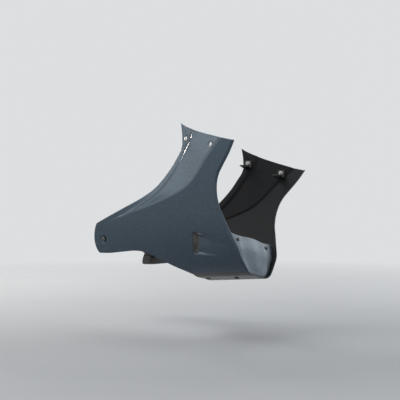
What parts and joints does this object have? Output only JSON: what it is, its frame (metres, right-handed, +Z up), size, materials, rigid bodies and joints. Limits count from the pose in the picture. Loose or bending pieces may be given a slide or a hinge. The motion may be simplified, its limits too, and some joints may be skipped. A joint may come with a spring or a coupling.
{
  "type": "motorcycle belly pan",
  "caption": "Moulded lower fairing of a sport motorcycle: two handed side cowls meeting on a narrow keel, a chin panel, linings, stays and screws.",
  "frame": {"origin": "centre of the bounding box, at its bottom: the underside of the keel rivets, midway between the cowls", "axes": "+X points forward on the motorcycle, +Y to the rider's left, +Z up"},
  "size_m": [0.5924, 0.3982, 0.4671],
  "materials": {
    "paint": "satin metallic",
    "chin_paint": "satin metallic",
    "foil": "embossed foil",
    "black_steel": "satin",
    "screw_steel": "machined",
    "zinc_steel": "zinc plated",
    "rubber": "matte",
    "rivet_plastic": "matte"
  },
  "bodies": {
    "root": {"chin_panel": "chin_paint", "front_keel_rivet": "rivet_plastic", "left_chin_clip": "rivet_plastic", "left_cowl": "paint", "left_heat_shield": "foil", "left_tail_bolt": "screw_steel", "left_tail_collar": "zinc_steel", "left_tail_grommet": "rubber", "left_tail_nut": "zinc_steel", "left_tail_stay": "black_steel", "left_upper_front_bolt": "screw_steel", "left_upper_front_nut": "zinc_steel", "left_upper_front_stay": "black_steel", "left_upper_rear_bolt": "screw_steel", "left_upper_rear_nut": "zinc_steel", "left_upper_rear_stay": "black_steel", "rear_keel_rivet": "rivet_plastic", "right_chin_clip": "rivet_plastic", "right_cowl": "paint", "right_heat_shield": "foil", "right_tail_bolt": "screw_steel", "right_tail_collar": "zinc_steel", "right_tail_grommet": "rubber", "right_tail_nut": "zinc_steel", "right_tail_stay": "black_steel", "right_upper_front_bolt": "screw_steel", "right_upper_front_nut": "zinc_steel", "right_upper_front_stay": "black_steel", "right_upper_rear_bolt": "screw_steel", "right_upper_rear_nut": "zinc_steel", "right_upper_rear_stay": "black_steel"}
  },
  "joints": []
}
